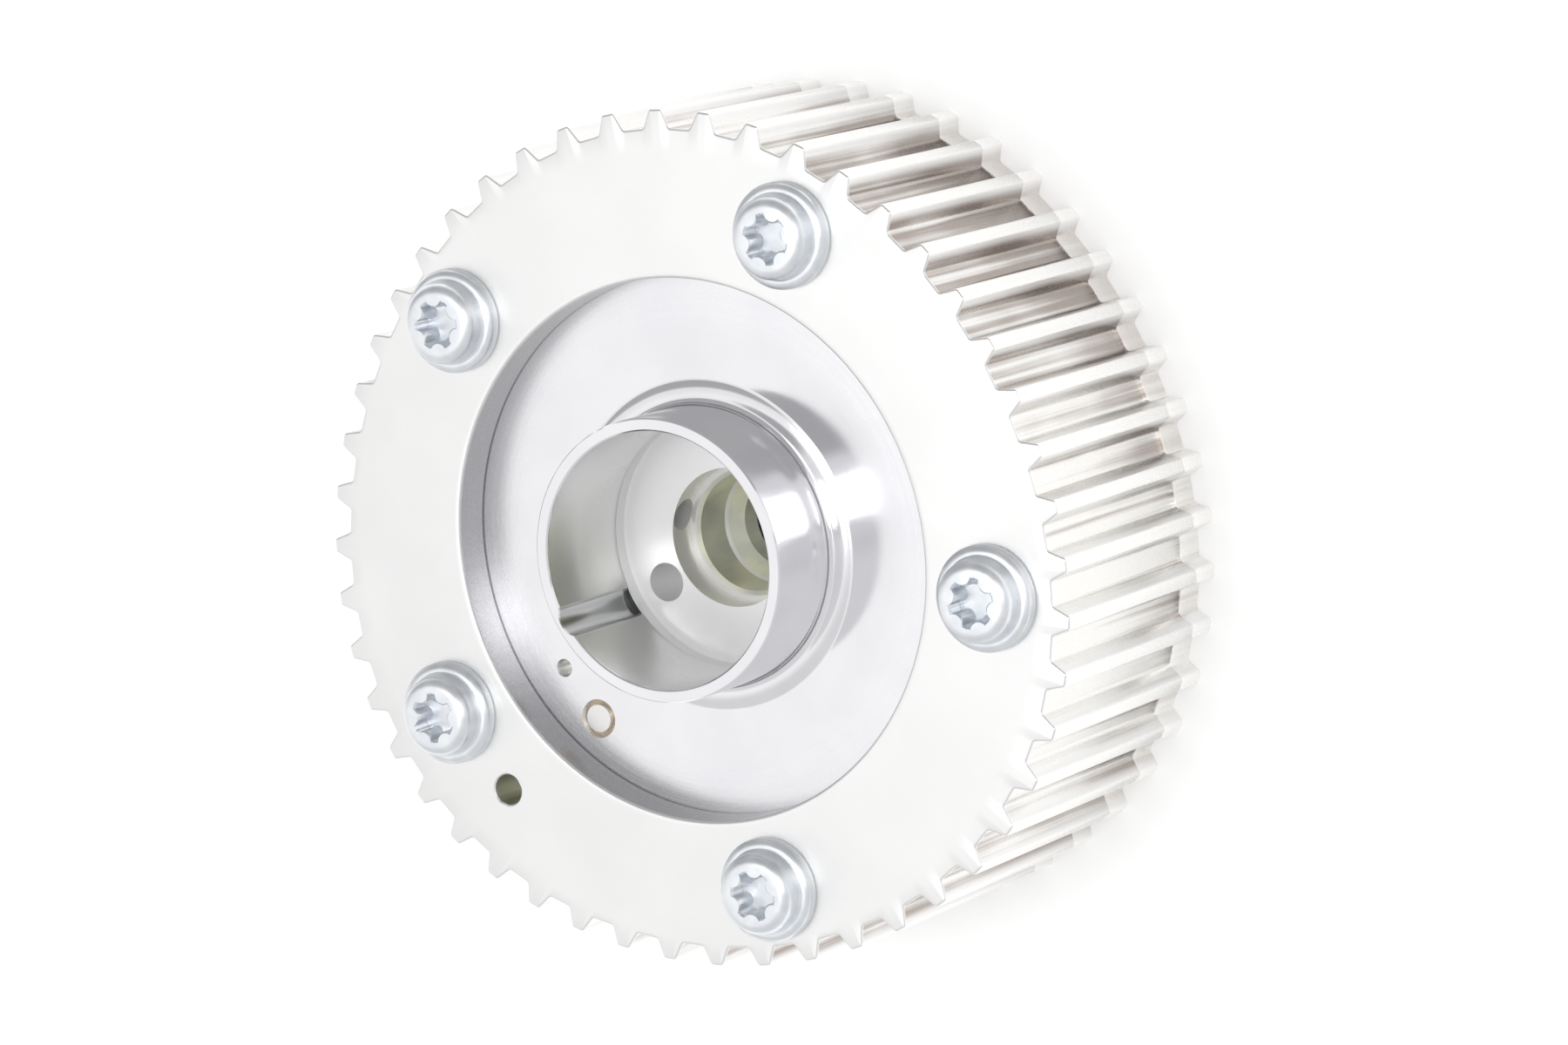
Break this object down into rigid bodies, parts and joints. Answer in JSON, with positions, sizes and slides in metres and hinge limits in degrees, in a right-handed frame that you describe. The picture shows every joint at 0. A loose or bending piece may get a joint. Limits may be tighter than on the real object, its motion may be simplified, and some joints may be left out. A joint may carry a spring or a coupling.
{
  "type": "camshaft pulley",
  "caption": "Toothed timing-belt pulley for a camshaft, with a slightly lobed rim, a polished collar and a hydraulic vane adjuster inside.",
  "frame": {"origin": "on the turning axis, in the plane of the white face on the camshaft side", "axes": "+Z along the turning axis towards the camshaft, out of the visible face; +X through the keyway, one cover screw and one high lobe of the rim"},
  "size_m": [0.121, 0.1212, 0.0497],
  "materials": {
    "sintered_steel": "light grey sintered steel with a warm cast, satin, teeth burnished bright on their lands",
    "turned_steel": "turned and polished steel with a fine circular grain",
    "seal_rubber": "black nitrile rubber",
    "hardened_steel": "ground hardened steel",
    "brown_steel": "steel tempered to a yellow-brown",
    "spring_steel": "bare spring steel",
    "light_alloy": "machined light alloy",
    "yellow_zinc": "yellow-passivated zinc plate on steel",
    "white_zinc": "bluish white zinc plate",
    "seal_strip": "brown filled sealing plastic"
  },
  "bodies": {
    "pulley_body": {"toothed_housing": "sintered_steel", "front_cover": "sintered_steel", "rear_cover": "turned_steel", "rear_seal_ring": "seal_rubber", "front_seal_ring": "seal_rubber", "plug_seal_ring": "seal_rubber", "lock_bush": "hardened_steel", "dowel_pin": "brown_steel", "chamber_ring": "light_alloy", "centre_plug": "hardened_steel", "cover_screws": "white_zinc", "lobe_seal_1": "seal_strip", "lobe_seal_2": "seal_strip", "lobe_seal_3": "seal_strip", "lobe_seal_4": "seal_strip", "lobe_seal_5": "seal_strip", "lobe_seal_spring_1": "spring_steel", "lobe_seal_spring_2": "spring_steel", "lobe_seal_spring_3": "spring_steel", "lobe_seal_spring_4": "spring_steel", "lobe_seal_spring_5": "spring_steel"},
    "rotor_body": {"rotor": "light_alloy", "bolt_sleeve": "yellow_zinc", "locking_pin_plug": "hardened_steel", "locking_pin_spring": "spring_steel", "vane_seal_1": "seal_strip", "vane_seal_2": "seal_strip", "vane_seal_3": "seal_strip", "vane_seal_4": "seal_strip", "vane_seal_5": "seal_strip", "vane_seal_spring_1": "spring_steel", "vane_seal_spring_2": "spring_steel", "vane_seal_spring_3": "spring_steel", "vane_seal_spring_4": "spring_steel", "vane_seal_spring_5": "spring_steel"},
    "pin_body": {"locking_pin": "hardened_steel"}
  },
  "joints": [
    {"name": "rotor_turn", "type": "hinge", "parent": "pulley_body", "child": "rotor_body", "pos_m": [0, 0, 0], "axis": [0, 0, 1], "range_deg": [-25, 0]},
    {"name": "pin_slide", "type": "slide", "parent": "rotor_body", "child": "pin_body", "axis": [0, 0, 1], "range_m": [-0.0012, 0], "deforming": ["locking_pin_spring"]}
  ]
}
